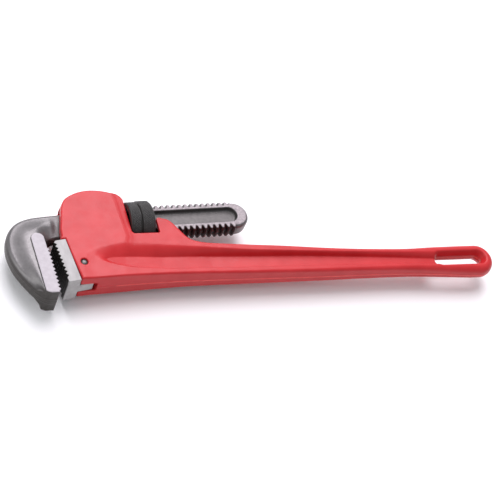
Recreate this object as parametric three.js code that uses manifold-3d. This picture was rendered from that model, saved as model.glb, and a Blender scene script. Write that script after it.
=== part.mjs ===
// Heavy-duty straight pipe wrench: a cast frame with an I-beam handle, a forged hook jaw on a
// threaded shank, a knurled adjusting nut, a pinned heel jaw and the two springs of the head.
//
// Millimetres. X runs along the shank towards the handle's end, Y across the broad side, from the
// handle's lower edge to the head's crown, and Z is the normal of the broad side. The pieces are
// placed about the middle of the nut, and the last lines move the origin to the middle of the
// underside.
import * as THREE from "three";
import { mergeVertices } from "three/addons/utils/BufferGeometryUtils.js";
import Module from "manifold-3d";

const wasm = await Module();
wasm.setup();

// Thread and shank
const PITCH = 4.9;
const THREAD_CREST_R = 13.7;
const THREAD_ROOT_R = 10.9;
const THREAD_GAP = 0.35; // running clearance of the nut's thread, along and across
const SHANK_HALF = 6.6; // half thickness of the flat shank
const THREAD_START = -44;
const THREAD_SHIFT = -0.6; // of the first turn, along the shank
const THREAD_END = 75.5;
const SHANK_END = 81.2; // centre of the rounded end
const SHANK_END_R = 12.0;
const PANEL_HALF = 7; // half width of the recess in each broad side of the shank
const PANEL_DEPTH = 4.1;
const PANEL_START = -34;

// Nut and its window
const NUT_FRONT = -9.6; // along the shank
const NUT_GROOVE = -1.9;
const NUT_REAR = 10.5;
const NUT_R = 17.8;
const NUT_FRONT_R = 17.2;
const WINDOW_FRONT = -10;
const WINDOW_REAR = 12.4;
const WINDOW_FLOOR = -16.3;
const NUT_WELL_R = 18.5; // round clearance for the nut in the window's floor

// Frame
const HEAD_HALF = 12.5; // half thickness of the head
const CHANNEL_HALF = 7.2; // half width of the shank's channel
const CHANNEL_FLOOR = -15.9;
const CHANNEL_ROOF = 15;
const CRADLE_FLOOR = -15;
const EDGE = 1.6; // edge radius of the casting
const END_CENTRE = [289.2, -58];
const END_R = 14.3;
const HOLE_R = 5.6;
const HOLE_START = [253, -56.4];
const HOLE_END = [288.8, -57.8];
const WEB_HALF = 3.2;
const FLUTE_FOOT = 2.2;

// Heel jaw, drawn in a frame of its own whose Y axis runs up the seat
const SEAT_TOP = [-63.7, -18.7];
const SEAT_LEAN = THREE.MathUtils.degToRad(6.6);
const HEEL_HEIGHT = 37.2;
const HEEL_DEPTH = 9.5;
const JAW_HALF = 12.6;
const HEEL_TEETH = 10;
const TOOTH_PITCH = 3.5;
const TOOTH_DEPTH = 1.6;
const TANG_HALF = 4.2;
const TANG_LENGTH = 11.6;
const TANG_TOP = -15;
const PIN_PLACE = [7.6, -22];
const PIN_R = 2.5;
const FIT = 0.35; // gap between fitted pieces

// Hook jaw
const HOOK_TOOTH_TOP = [-77.5, -28.9];
const HOOK_TOOTH_END = [-76.4, -63.9];
const HOOK_TEETH = 10;
const PAD_TOP = [-84.4, -16.8]; // centre of its round end
const PAD_TOP_R = 4.9;
const PAD_FOOT = -86.9; // its back edge at the jaw's point
const PAD_WIDTH = 10.5; // across the teeth
const HOOK_EDGE = 0.8;

// Springs
const COIL_R = 3.1;
const COIL_WIRE_R = 0.6;
const COIL_TURNS = 6;
const COIL_PLACE = -38; // along the shank, under the channel
const COIL_WELL = 14;
const WELL_R = 4.4;
const LEAF_START = -56;
const LEAF_END = -20;
const LEAF_TOP = 17.6;
const LEAF_HALF = 3.6;
const LEAF_THICK = 0.8;
const RIVET_PLACE = -52;
const RIVET_R = 1.5;
const RIVET_LENGTH = 4;

function paint(color, roughness, metalness) {
  return new THREE.MeshStandardMaterial({ color, roughness, metalness });
}

const RED_ENAMEL = paint(0xc8202c, 0.3, 0.0);
const FORGED_BLACK = paint(0x6b6a68, 0.45, 0.85);
const GROUND_STEEL = paint(0xc9c5c2, 0.32, 0.9);
const NUT_BLACK = paint(0x3a3836, 0.5, 0.8);
const SPRING_STEEL = paint(0x8a8a8c, 0.35, 0.9);
const PIN_STEEL = paint(0x9b9a96, 0.35, 0.9);

const CURVE_STEPS = 3; // corners on each span of a curve

// ---- from geometry to solid and back ----

function solid(geometry) {
  const bare = geometry.index ? geometry.toNonIndexed() : geometry.clone();
  bare.deleteAttribute("normal");
  bare.deleteAttribute("uv");
  const merged = mergeVertices(bare, 1e-4);
  return new wasm.Manifold(
    new wasm.Mesh({
      numProp: 3,
      vertProperties: merged.attributes.position.array,
      triVerts: new Uint32Array(merged.index.array),
    }),
  );
}

function toMesh(name, body, material) {
  const data = body.getMesh();
  const geometry = new THREE.BufferGeometry();
  geometry.setAttribute("position", new THREE.BufferAttribute(data.vertProperties.slice(), 3));
  geometry.setIndex(new THREE.BufferAttribute(data.triVerts.slice(), 1));
  geometry.computeVertexNormals();
  const mesh = new THREE.Mesh(geometry, material);
  mesh.name = name;
  return mesh;
}

// ---- shapes ----

// The outline's corners, each once.
function corners(shape) {
  const all = shape.getPoints(CURVE_STEPS);
  const kept = all.filter((p, i) => p.distanceTo(all[(i + 1) % all.length]) > 1e-3);
  return new THREE.Shape(kept);
}

// A flat outline made thick about the middle plane, with rounded edges.
function slab(shape, half, edge = 0, segments = 2) {
  const geometry = new THREE.ExtrudeGeometry(corners(shape), {
    depth: 2 * (half - edge),
    bevelEnabled: edge > 0,
    bevelThickness: edge,
    bevelSize: edge,
    bevelOffset: -edge,
    bevelSegments: segments,
  });
  return geometry.translate(0, 0, -(half - edge));
}

// A hollow pressed into the +Z side: a floor at the given height with a rounded foot.
function hollow(shape, floor, foot, top) {
  const geometry = new THREE.ExtrudeGeometry(corners(shape), {
    depth: top - floor,
    bevelEnabled: true,
    bevelThickness: foot,
    bevelSize: foot,
    bevelOffset: -foot,
    bevelSegments: 2,
  });
  return geometry.translate(0, 0, floor + foot);
}

function box(x0, x1, y0, y1, z0, z1) {
  const geometry = new THREE.BoxGeometry(x1 - x0, y1 - y0, z1 - z0);
  return geometry.translate((x0 + x1) / 2, (y0 + y1) / 2, (z0 + z1) / 2);
}

function rodZ(x, y, radius, half, segments = 24) {
  const geometry = new THREE.CylinderGeometry(radius, radius, 2 * half, segments);
  return geometry.rotateX(Math.PI / 2).translate(x, y, 0);
}

function rodX(x0, x1, radius) {
  const geometry = new THREE.CylinderGeometry(radius, radius, x1 - x0, 40);
  return geometry.rotateZ(Math.PI / 2).translate((x0 + x1) / 2, 0, 0);
}

function points(list) {
  return list.map(([x, y]) => new THREE.Vector2(x, y));
}

function polygon(list) {
  return new THREE.Shape(points(list));
}

// A long round-ended outline between two centres.
function stadium([x0, y0], [x1, y1], radius) {
  const angle = Math.atan2(y1 - y0, x1 - x0);
  const shape = new THREE.Shape();
  shape.absarc(x1, y1, radius, angle - Math.PI / 2, angle + Math.PI / 2);
  shape.absarc(x0, y0, radius, angle + Math.PI / 2, angle + (3 * Math.PI) / 2);
  return shape;
}

// Moves each vertex to the height that a function of its place gives.
function reheight(geometry, height) {
  const place = geometry.attributes.position;
  for (let i = 0; i < place.count; i += 1)
    place.setZ(i, height(place.getX(i), place.getY(i), place.getZ(i)));
  return geometry;
}

// A smooth value along x through a few stations.
function along(stations, x) {
  const last = stations.length - 1;
  if (x <= stations[0][0]) return stations[0][1];
  if (x >= stations[last][0]) return stations[last][1];
  const i = stations.findIndex(([sx]) => sx > x) - 1;
  const [x0, v0] = stations[i];
  const [x1, v1] = stations[i + 1];
  return THREE.MathUtils.lerp(v0, v1, (x - x0) / (x1 - x0));
}

// A saw-toothed edge from one point to another. Each tooth rises by depth to the left of the way
// taken, or to the right for a negative depth. Its tip stands at the given part of the pitch.
function sawEdge([x0, y0], [x1, y1], teeth, depth, tip) {
  const from = new THREE.Vector2(x0, y0);
  const way = new THREE.Vector2(x1 - x0, y1 - y0).divideScalar(teeth);
  const side = new THREE.Vector2(-way.y, way.x).normalize().multiplyScalar(depth);
  const edge = [];
  for (let i = 0; i < teeth; i += 1) {
    edge.push(from.clone().addScaledVector(way, i));
    edge.push(from.clone().addScaledVector(way, i + tip).add(side));
  }
  edge.push(from.clone().addScaledVector(way, teeth));
  return edge;
}

// A rod along X with a right-hand screw thread. The rows of vertices follow the helix, so the
// first and last turn end on a step that a cut across the rod takes away.
function threadedRod(x0, turns, crest, root, gap) {
  const around = 22;
  const slack = gap / PITCH;
  const rows = [
    [slack, root],
    [0.25 - slack, root],
    [0.46 - slack, crest],
    [0.76 + slack, crest],
  ];
  const vertices = [];
  const faces = [];
  const count = turns * rows.length;
  for (let i = 0; i <= count; i += 1) {
    const [part, radius] = rows[i % rows.length];
    const start = x0 + PITCH * (Math.floor(i / rows.length) + part);
    for (let k = 0; k < around; k += 1) {
      const angle = (2 * Math.PI * k) / around;
      vertices.push(start + (PITCH * k) / around, radius * Math.cos(angle), radius * Math.sin(angle));
    }
  }
  // The vertex one turn on from the last column lies one turn's rows later in the first one.
  const turn = rows.length;
  const at = (row, k) => (k < around ? row * around + k : (row + turn) * around);
  for (let row = 0; row < count; row += 1)
    for (let k = 0; k < around; k += 1) {
      if (k === around - 1 && row + 1 + turn > count) continue;
      const [a, b, c, d] = [at(row, k), at(row + 1, k), at(row + 1, k + 1), at(row, k + 1)];
      faces.push(a, c, b, a, d, c);
    }
  // Each end closes on a point of the axis, by way of the step between the first and last column.
  const lid = (loop, x) => {
    const centre = vertices.length / 3;
    vertices.push(x, 0, 0);
    loop.forEach((v, i) => faces.push(centre, v, loop[(i + 1) % loop.length]));
  };
  const ring = (row) => Array.from({ length: around }, (_, k) => at(row, k));
  const step = (column, from) => Array.from({ length: turn }, (_, i) => at(from - i, column));
  lid([...ring(0), ...step(0, turn)].reverse(), x0 + PITCH / 2);
  lid([...ring(count), ...step(around - 1, count - 1)], x0 + PITCH * turns);
  const geometry = new THREE.BufferGeometry();
  geometry.setAttribute("position", new THREE.Float32BufferAttribute(vertices, 3));
  geometry.setIndex(faces);
  return geometry;
}

// ---- frame ----

// The flat raised cheek of the head, which the rest of the casting falls away from.
const CHEEK = [
  [-90, 40],
  [-19.5, 40],
  [-18, 10],
  [-16.5, -19],
  [-18.5, -23.5],
  [-24, -25],
  [-39, -28],
  [-50, -33],
  [-55, -44],
  [-56, -80],
  [-90, -80],
];

// Half thickness of the casting along X: full at the head, thinner down the handle.
const CASTING_HALF = [
  [-24, HEAD_HALF - 0.5],
  [-8, 11.4],
  [24, 10.2],
  [60, 9.3],
  [90, 8.8],
  [216, 7.5],
];

function frameOutline() {
  const shape = new THREE.Shape();
  shape.moveTo(-59.2, -55.6);
  shape.lineTo(-24, -55.3);
  shape.splineThru(points([[10, -55.5], [41, -56.5], [75, -58.2], [108, -59.8], [143, -61.5]]));
  shape.splineThru(points([[180, -63], [216, -64.9], [240, -67.1], [262, -69.7], [280, -71.8]]));
  shape.lineTo(END_CENTRE[0], END_CENTRE[1] - END_R);
  shape.absarc(END_CENTRE[0], END_CENTRE[1], END_R, -Math.PI / 2, Math.PI / 2);
  shape.splineThru(points([[267, -43.2], [247, -43], [227, -43.1], [204, -42.1], [174.5, -39.9]]));
  shape.lineTo(146, -37);
  shape.splineThru(points([[111.5, -32.9], [85, -30.3], [64, -28.2], [47, -26.2], [39, -23.8]]));
  shape.quadraticCurveTo(35, -22, 32.5, -17.5);
  shape.lineTo(27.2, -8.6);
  shape.quadraticCurveTo(23.5, -2.2, 18.5, -2);
  shape.lineTo(15.5, -2);
  shape.quadraticCurveTo(WINDOW_REAR, -2, WINDOW_REAR, -5);
  shape.lineTo(WINDOW_REAR, WINDOW_FLOOR);
  shape.lineTo(WINDOW_FRONT + 3, WINDOW_FLOOR);
  shape.quadraticCurveTo(WINDOW_FRONT, WINDOW_FLOOR, WINDOW_FRONT, WINDOW_FLOOR + 3);
  shape.lineTo(WINDOW_FRONT, 15.5);
  shape.quadraticCurveTo(-11.2, 20.6, -18.5, 23.6);
  shape.quadraticCurveTo(-27, 26.8, -35.5, 26.8);
  shape.quadraticCurveTo(-47, 26.6, -56, 20.2);
  shape.quadraticCurveTo(-59.8, 17, -61.8, 10);
  shape.lineTo(-66.2, -9);
  shape.lineTo(-67, -18.3);
  shape.lineTo(-63.4, -18.3);
  return shape;
}

// The flute in each side of the handle, from the head to the web's end at the hanging hole.
function fluteOutline() {
  const shape = new THREE.Shape();
  shape.moveTo(-44.5, -34);
  shape.quadraticCurveTo(-43, -26.5, -30, -25.5);
  shape.splineThru(points([[-15, -25.6], [1, -27.6], [30, -30.3], [58, -33.4], [91, -36.9]]));
  shape.splineThru(points([[125, -40.7], [160, -44.7], [196, -48.3], [224, -50.4], [250, -50.6]]));
  shape.lineTo(250, -63);
  shape.splineThru(points([[220, -60.9], [190, -59.2], [156, -57.5], [120, -55.8], [86, -54.2]]));
  shape.splineThru(points([[52, -52.4], [19, -51], [-5, -49.7], [-20, -48], [-34, -43]]));
  shape.quadraticCurveTo(-43.8, -39, -44.5, -34);
  return shape;
}

// Height of the flute's floor: it starts near the head's face and sinks to the web.
const FLUTE_RISE = [
  [-45, 7.4],
  [-20, 4.2],
  [10, 1.6],
  [50, 0],
];

function flute() {
  const cut = hollow(fluteOutline(), WEB_HALF, FLUTE_FOOT, HEAD_HALF + 6);
  return reheight(cut, (x, y, z) => z + along(FLUTE_RISE, x));
}

function intoHeel(geometry) {
  return geometry.rotateZ(SEAT_LEAN).translate(SEAT_TOP[0], SEAT_TOP[1], 0);
}

// The slot that takes the heel jaw's tang, open at the casting's lower edge.
function tangSlot() {
  const half = TANG_HALF + FIT;
  const slot = box(-3, TANG_LENGTH + 2.6, -HEEL_HEIGHT - 4, TANG_TOP + 1.2, -half, half);
  const mouth = polygon([[-1, -TANG_HALF - 3], [2, -TANG_HALF], [2, TANG_HALF], [-1, TANG_HALF + 3]]);
  const depth = HEEL_HEIGHT + 4 - 14;
  const chamfer = new THREE.ExtrudeGeometry(mouth, { depth, bevelEnabled: false });
  chamfer.rotateX(Math.PI / 2).translate(0, -14, 0);
  return solid(intoHeel(slot)).add(solid(intoHeel(chamfer)));
}

// The same geometry on the other side of the middle plane.
function mirrored(geometry) {
  const flat = geometry.index ? geometry.toNonIndexed() : geometry.clone();
  const place = flat.attributes.position;
  const corner = (i) => [place.getX(i), place.getY(i), -place.getZ(i)];
  for (let i = 0; i < place.count; i += 3) {
    const second = corner(i + 1);
    const third = corner(i + 2);
    place.setXYZ(i, ...corner(i));
    place.setXYZ(i + 1, ...third);
    place.setXYZ(i + 2, ...second);
  }
  return flat;
}

function frameCasting() {
  const thin = (x, y, z) => (z * along(CASTING_HALF, x)) / HEAD_HALF;
  const well = new THREE.CylinderGeometry(WELL_R, WELL_R, COIL_WELL, 20);
  const leafHalf = LEAF_HALF + 0.8;
  const cuts = [
    flute(),
    mirrored(flute()),
    slab(stadium(HOLE_START, HOLE_END, HOLE_R), HEAD_HALF + 2),
    box(-80, 0, CHANNEL_FLOOR, CHANNEL_ROOF, -CHANNEL_HALF, CHANNEL_HALF),
    box(0, 50, CRADLE_FLOOR, CHANNEL_ROOF, -CHANNEL_HALF, CHANNEL_HALF),
    box(LEAF_START - 2, LEAF_END + 2, CHANNEL_ROOF - 1, LEAF_TOP + 0.4, -leafHalf, leafHalf),
    rivetBar(RIVET_R + 0.35, 0, RIVET_LENGTH),
    rodX(WINDOW_FRONT, WINDOW_REAR, NUT_WELL_R),
    well.translate(COIL_PLACE, CHANNEL_FLOOR + 1 - COIL_WELL / 2, 0),
    intoHeel(rodZ(...PIN_PLACE, PIN_R + 0.05, HEAD_HALF + 1)),
  ];
  const whole = slab(frameOutline(), HEAD_HALF, EDGE);
  const cheeks = solid(slab(polygon(CHEEK), HEAD_HALF + 1)).intersect(solid(whole));
  let body = solid(reheight(whole, thin)).add(cheeks);
  for (const cut of cuts) body = body.subtract(solid(cut));
  return body.subtract(tangSlot());
}

// ---- heel jaw and its pin ----

function heelJaw() {
  const root = -HEEL_DEPTH + TOOTH_DEPTH;
  const bottom = -HEEL_TEETH * TOOTH_PITCH;
  const edge = sawEdge([root, 0], [root, bottom], HEEL_TEETH, -TOOTH_DEPTH, 0.43);
  const tip = -HEEL_DEPTH - 0.1;
  const below = points([[tip, bottom - 0.5], [tip, -HEEL_HEIGHT], [0, -HEEL_HEIGHT]]);
  const outline = new THREE.Shape([...points([[0, 0]]), ...edge.slice(0, -1), ...below]);
  const tang = box(-1, TANG_LENGTH, -HEEL_HEIGHT, TANG_TOP, -TANG_HALF, TANG_HALF);
  return solid(intoHeel(slab(outline, JAW_HALF - 0.1)))
    .add(solid(intoHeel(tang)))
    .subtract(solid(intoHeel(rodZ(...PIN_PLACE, PIN_R + 0.05, TANG_HALF + 2))));
}

// The pin through the casting and the tang, with its ends just under the casting's faces.
function heelPin() {
  const half = HEAD_HALF - 0.5;
  const near = points([[0, -half], [PIN_R - 0.7, -half], [PIN_R, -half + 0.6]]);
  const far = points([[PIN_R, half - 0.6], [PIN_R - 0.7, half], [0, half]]);
  const profile = [...near, ...far];
  const pin = new THREE.LatheGeometry(profile, 24).rotateX(Math.PI / 2);
  return solid(intoHeel(pin.translate(...PIN_PLACE, 0)));
}

// ---- hook jaw ----

function hookOutline(edge) {
  const shape = new THREE.Shape();
  shape.moveTo(THREAD_START + 8, 11);
  shape.lineTo(THREAD_START - 4, 9.6);
  shape.splineThru(points([[-61.5, 8.9], [-76.2, 8], [-84.6, 7.1], [-92.8, 4.6], [-99, 0.4]]));
  shape.splineThru(points([[-103.6, -5.9], [-106, -13], [-106.6, -21], [-105.6, -29.5], [-103, -38.5]]));
  shape.lineTo(-97.8, -49);
  shape.splineThru(points([[-91.8, -58.4], [-87, -62.9], [-83.5, -64.6]]));
  for (const p of edge) shape.lineTo(p.x, p.y);
  shape.lineTo(-78.7, -22);
  shape.bezierCurveTo(-78, -16.7, -75.4, -13.5, -71, -13.2);
  shape.lineTo(-62, -13.2);
  shape.lineTo(THREAD_START - 2, -13.4);
  shape.lineTo(THREAD_START + 8, -10.5);
  return shape;
}

// Half thickness of the hook's flanks where they swell towards the teeth, by the way back from
// the tooth line.
const FLANKS = [
  [-3, 11.2],
  [PAD_WIDTH - 2, 11.2],
  [PAD_WIDTH + 5, 10.2],
  [PAD_WIDTH + 14, SHANK_HALF - 1],
];

function hookFlanks() {
  const lean = Math.atan2(HOOK_TOOTH_END[0] - HOOK_TOOTH_TOP[0], HOOK_TOOTH_TOP[1] - HOOK_TOOTH_END[1]);
  const upper = FLANKS.map(([reach, height]) => [-reach, height]);
  const lower = upper.map(([x, z]) => [x, -z]).reverse();
  const section = polygon([...upper, ...lower]);
  const geometry = new THREE.ExtrudeGeometry(section, { depth: 46, bevelEnabled: false });
  geometry.rotateX(Math.PI / 2).rotateZ(lean);
  return geometry.translate(HOOK_TOOTH_TOP[0], HOOK_TOOTH_TOP[1] + 8.5, 0);
}

// The milled pad along the teeth, the full width of the bite, with a round top end.
function padOutline() {
  const [tx, ty] = HOOK_TOOTH_TOP;
  const [ex, ey] = HOOK_TOOTH_END;
  const shape = new THREE.Shape();
  shape.moveTo(PAD_FOOT, ey - 3);
  shape.lineTo(ex + 4, ey - 3);
  shape.lineTo(tx + 4, ty + 1);
  shape.lineTo(PAD_TOP[0] + PAD_TOP_R, ty + 6);
  shape.absarc(...PAD_TOP, PAD_TOP_R, 0, Math.PI);
  return shape;
}

function threadedShank() {
  const turns = 31;
  const first = THREAD_START + THREAD_SHIFT - PITCH;
  const thread = solid(threadedRod(first, turns, THREAD_CREST_R, THREAD_ROOT_R, 0));
  const bar = box(THREAD_START, THREAD_END, -20, 20, -SHANK_HALF, SHANK_HALF);
  const end = slab(stadium([SHANK_END - 1, 0], [SHANK_END, 0], SHANK_END_R), SHANK_HALF, 3.2);
  return thread.intersect(solid(bar)).add(solid(end));
}

function hookJaw() {
  const root = [HOOK_TOOTH_END, HOOK_TOOTH_TOP].map(([x, y]) => [x - TOOTH_DEPTH, y]);
  const teeth = sawEdge(...root, HOOK_TEETH, -TOOTH_DEPTH, 0.5);
  const foot = points([[root[0][0] + 1, root[0][1] - 0.9]]);
  const land = points([[-77.8, -27.4], [-78.7, -25.6]]);
  const outline = solid(slab(hookOutline([...foot, ...teeth, ...land]), JAW_HALF + 0.4));
  const behind = points(root.map(([x, y]) => [x - 0.6, y]));
  const forging = solid(slab(hookOutline(behind), SHANK_HALF, HOOK_EDGE));
  const flanks = solid(hookFlanks()).intersect(outline);
  const pad = solid(slab(padOutline(), JAW_HALF + 0.2)).intersect(outline);
  const panel = stadium([PANEL_START, 0], [SHANK_END - 4.6, 0], PANEL_HALF);
  const recess = hollow(panel, SHANK_HALF - PANEL_DEPTH, 1.6, SHANK_HALF + 2);
  return forging
    .add(flanks)
    .add(pad)
    .add(threadedShank())
    .subtract(solid(recess))
    .subtract(solid(mirrored(recess)));
}

// ---- nut ----

function adjustingNut() {
  const profile = points([
    [0, NUT_FRONT],
    [NUT_FRONT_R - 1.8, NUT_FRONT],
    [NUT_FRONT_R, NUT_FRONT + 1.2],
    [NUT_FRONT_R, NUT_GROOVE],
    [NUT_FRONT_R - 1, NUT_GROOVE + 0.5],
    [NUT_FRONT_R - 1, NUT_GROOVE + 1.1],
    [NUT_R, NUT_GROOVE + 1.8],
    [NUT_R, NUT_REAR - 2.2],
    [NUT_R - 2.4, NUT_REAR],
    [0, NUT_REAR],
  ]);
  const blank = new THREE.LatheGeometry(profile, 40).rotateZ(-Math.PI / 2);
  const crest = THREAD_CREST_R + THREAD_GAP;
  const root = THREAD_ROOT_R + THREAD_GAP;
  const first = THREAD_START + THREAD_SHIFT + 4 * PITCH;
  return solid(blank).subtract(solid(threadedRod(first, 9, crest, root, THREAD_GAP)));
}

// ---- springs ----

// A helix about the Y axis.
class Helix extends THREE.Curve {
  constructor(radius, height, turns) {
    super();
    Object.assign(this, { radius, height, turns });
  }
  getPoint(t, target = new THREE.Vector3()) {
    const angle = 2 * Math.PI * this.turns * t;
    return target.set(this.radius * Math.cos(angle), this.height * t, this.radius * Math.sin(angle));
  }
}

function disc(radius, corners) {
  const shape = new THREE.Shape();
  for (let i = 0; i < corners; i += 1) {
    const angle = (2 * Math.PI * i) / corners;
    const corner = [radius * Math.cos(angle), radius * Math.sin(angle)];
    if (i === 0) shape.moveTo(...corner);
    else shape.lineTo(...corner);
  }
  return shape;
}

// The coil that stands in a well of the channel's floor and holds the shank up.
function coilSpring() {
  const top = -THREAD_CREST_R - 0.5 - COIL_WIRE_R;
  const height = COIL_WELL - 4;
  const wire = new THREE.ExtrudeGeometry(disc(COIL_WIRE_R, 6), {
    steps: COIL_TURNS * 12,
    bevelEnabled: false,
    extrudePath: new Helix(COIL_R, height, COIL_TURNS),
  });
  return solid(wire.translate(COIL_PLACE, top - height, 0));
}

function rivetBar(radius, below, above) {
  const profile = points([[0, -below], [radius, -below], [radius, above], [0, above]]);
  return new THREE.LatheGeometry(profile, 20).translate(RIVET_PLACE, LEAF_TOP, 0);
}

// The bowed leaf under the channel's roof.
function leafSpring() {
  const bow = 0.9;
  const middle = (LEAF_START + LEAF_END) / 2;
  const low = LEAF_TOP - LEAF_THICK;
  const shape = new THREE.Shape();
  shape.moveTo(LEAF_START, low);
  shape.quadraticCurveTo(middle, low - 2 * bow, LEAF_END, low);
  shape.lineTo(LEAF_END, LEAF_TOP);
  shape.quadraticCurveTo(middle, LEAF_TOP - 2 * bow, LEAF_START, LEAF_TOP);
  return solid(slab(shape, LEAF_HALF)).subtract(solid(rivetBar(RIVET_R + 0.3, 3, 1)));
}

function leafRivet() {
  const below = LEAF_THICK + 0.9;
  const profile = points([[0, -below - 0.7], [2.4, -below - 0.7], [2.4, -below], [RIVET_R, -below]]);
  const top = points([[RIVET_R, RIVET_LENGTH - 0.4], [0, RIVET_LENGTH - 0.4]]);
  return solid(new THREE.LatheGeometry([...profile, ...top], 20).translate(RIVET_PLACE, LEAF_TOP, 0));
}

// ---- assembly ----

const wrench = new THREE.Group();
wrench.add(
  toMesh("handle_frame", frameCasting(), RED_ENAMEL),
  toMesh("heel_jaw", heelJaw(), GROUND_STEEL),
  toMesh("heel_jaw_pin", heelPin(), PIN_STEEL),
  toMesh("hook_jaw", hookJaw(), FORGED_BLACK),
  toMesh("adjusting_nut", adjustingNut(), NUT_BLACK),
  toMesh("coil_spring", coilSpring(), SPRING_STEEL),
  toMesh("leaf_spring", leafSpring(), SPRING_STEEL),
  toMesh("spring_rivet", leafRivet(), PIN_STEEL),
);

const extent = new THREE.Box3().setFromObject(wrench);
const centre = extent.getCenter(new THREE.Vector3());
wrench.position.set(-centre.x, -centre.y, -extent.min.z);

export default wrench;
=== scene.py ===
"""The looks of the pipe wrench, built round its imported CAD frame.

Shapes are worked out in millimetres in the wrench's own axes: X along the shank towards the
handle's end, Y across the broad side, Z its normal, with the origin on the shank's axis. Castings
and forgings are distance fields with rounded joins, skinned into meshes. Turned and wound pieces
are swept grids.
"""

import math

import bmesh
import bpy
import numpy as np
from mathutils import Matrix, Vector


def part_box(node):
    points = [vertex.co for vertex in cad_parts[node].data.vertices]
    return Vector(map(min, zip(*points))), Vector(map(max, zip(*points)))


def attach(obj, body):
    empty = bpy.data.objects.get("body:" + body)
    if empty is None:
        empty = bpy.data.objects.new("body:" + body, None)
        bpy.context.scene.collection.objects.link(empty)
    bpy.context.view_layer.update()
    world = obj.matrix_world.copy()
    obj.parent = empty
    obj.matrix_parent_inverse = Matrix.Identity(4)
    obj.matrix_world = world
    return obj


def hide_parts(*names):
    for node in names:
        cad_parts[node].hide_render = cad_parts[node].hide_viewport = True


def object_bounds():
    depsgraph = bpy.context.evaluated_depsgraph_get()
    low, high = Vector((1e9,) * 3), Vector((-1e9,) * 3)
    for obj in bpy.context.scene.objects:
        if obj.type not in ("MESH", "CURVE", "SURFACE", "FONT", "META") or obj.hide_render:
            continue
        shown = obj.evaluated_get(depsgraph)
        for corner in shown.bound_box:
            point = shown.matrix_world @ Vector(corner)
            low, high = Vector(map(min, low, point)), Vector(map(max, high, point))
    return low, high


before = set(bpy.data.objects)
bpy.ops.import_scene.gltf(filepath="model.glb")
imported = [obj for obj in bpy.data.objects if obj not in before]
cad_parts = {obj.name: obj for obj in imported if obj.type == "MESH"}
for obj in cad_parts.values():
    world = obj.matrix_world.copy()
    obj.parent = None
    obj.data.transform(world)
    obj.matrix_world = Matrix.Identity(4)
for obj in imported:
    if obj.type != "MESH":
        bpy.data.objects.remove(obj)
CAD_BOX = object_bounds()

# ---- where the wrench is: everything hangs off the nut's axis and front face ----

MM = 0.001
NUT_FRONT = -9.6
NUT_GROOVE = -1.9
NUT_REAR = 10.5
nut_low, nut_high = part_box("adjusting_nut")
ORIGIN = Vector(
    (nut_low.x - NUT_FRONT * MM, (nut_low.y + nut_high.y) / 2, (nut_low.z + nut_high.z) / 2)
)

# ---- sizes, in millimetres ----

PITCH = 4.9
THREAD_CREST_R = 13.7
THREAD_ROOT_R = 10.9
THREAD_GAP = 0.35  # running clearance of the nut's thread
THREAD_RISE = (0.25, 0.46)  # of each turn: root before it, crest after it
THREAD_FALL = (0.76, 1.0)
THREAD_START = -44.0
THREAD_SHIFT = 0.6  # of the first turn, along the shank
THREAD_END = 80.5
THREAD_SCALE = 0.85  # keeps the field's slope near one on the thread's flanks
SHANK_HALF = 6.6
SHANK_END = 81.2
SHANK_END_R = 12.0
PANEL_HALF = 7.0  # half width of the recess in each broad side of the shank
PANEL_FLOOR = 2.5
PANEL_START = -34.0
PANEL_END = 76.6
PANEL_DRAFT = 0.12

NUT_R = 17.8
NUT_FRONT_R = 17.2
NUT_COLUMNS = 560
NUT_ROW = 0.22  # spacing of the rows along the nut's outside
BORE_ROWS = 96
BORE_GROWTH = 0.6  # of the bore over the thread's root
BORE_LEAD = 1.4  # length of the chamfer at each end of the nut's thread
BORE_LEAD_RISE = 2.16
KNURLS = 84
KNURL_PITCH = 2.3  # along the nut, for one knurl round it
KNURL_DEPTH = 0.42
KNURL_FLANK = 1.7
WINDOW_FRONT = -10.0
WINDOW_REAR = 12.4
WINDOW_FLOOR = -16.3
NUT_WELL_R = 18.5

HEAD_HALF = 12.5
CHANNEL_HALF = 7.2
CHANNEL_FLOOR = -15.9
CHANNEL_ROOF = 15.0
CRADLE_FLOOR = -15.0
END_CENTRE = (289.2, -58.0)
END_R = 14.3
HOLE_R = 4.6
HOLE_START = (253.0, -56.4)
HOLE_END = (288.8, -57.8)
WEB_HALF = 3.2
DRAFT = math.tan(math.radians(4.5))
CHEEK_FALL = 8.0  # how far from the cheek the casting thins out
FLASH = 0.25  # height of the trimmed parting line
FLASH_HALF = 0.8
WINDOW_SHARPNESS = 0.65  # how much smaller the edges are where the window is machined
WALL_CURVE = 1.7  # of the flute's walls: 1 is a straight slope
WALL_SCALE = 0.7  # keeps the field's slope near one on the flute's walls
FUNNEL = 0.5  # slope of the hanging hole's mouth
FUNNEL_START = 2.5

# Along X: half thickness of the casting, its edge radius, and how far the flute's floor lies
# above the web.
CASTING_HALF = [(-24, 12.0), (-8, 11.4), (24, 10.2), (60, 9.3), (90, 8.8), (216, 7.5), (310, 7.5)]
EDGE_ROUND = [
    (-40, 1.4), (-10, 1.5), (21, 1.8), (84, 2.2), (160, 2.8), (205, 3.2), (242, 4.2), (282, 5.6)
]
FLUTE_RISE = [(-45, 7.6), (-20, 4.2), (10, 1.6), (50, 0.0)]

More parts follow.
